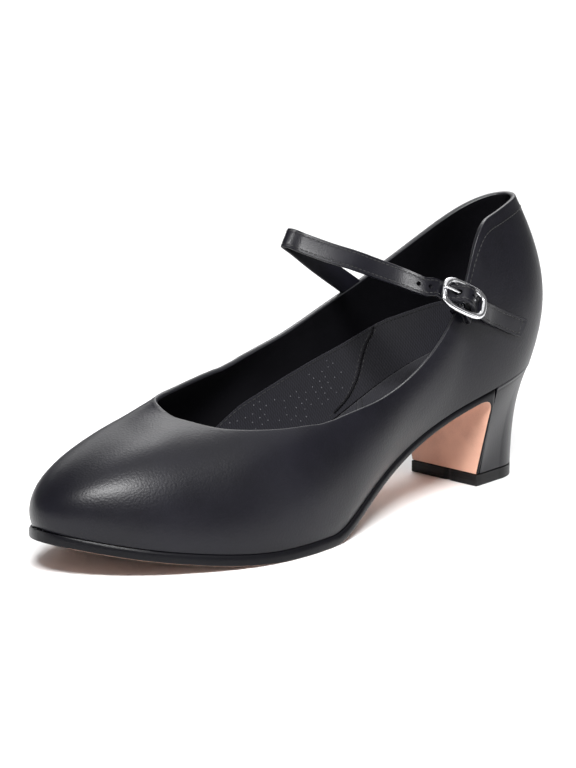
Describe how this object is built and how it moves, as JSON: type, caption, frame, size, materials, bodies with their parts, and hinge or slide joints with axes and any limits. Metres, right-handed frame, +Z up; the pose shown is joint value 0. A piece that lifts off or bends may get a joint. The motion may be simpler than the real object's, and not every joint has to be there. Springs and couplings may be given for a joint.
{
  "type": "character shoe",
  "caption": "Left heeled dance pump in black leather with an arched instep strap, an oval buckle, a curved covered heel and a thin tan sole.",
  "frame": {"origin": "on the floor plane under the middle of the heel's top lift", "axes": "+Z up, the toe points to -Y, +X is the outer side of a left foot, where the buckle is"},
  "size_m": [0.082, 0.246, 0.1111],
  "materials": {
    "black_leather": "smooth, soft gloss",
    "tan_sole": "matt tan with a black inked edge",
    "heel_cover": "smooth, satin",
    "lift_rubber": "matt",
    "sock_textile": "matt textile",
    "buckle_metal": "polished"
  },
  "bodies": {
    "root": {"upper": "black_leather", "strap": "black_leather", "anchor_tab": "black_leather", "outsole": "tan_sole", "heel": "heel_cover", "top_lift": "lift_rubber", "insole_forefoot": "sock_textile", "insole_heel": "sock_textile", "buckle_frame": "buckle_metal", "buckle_prong": "buckle_metal"}
  },
  "joints": []
}
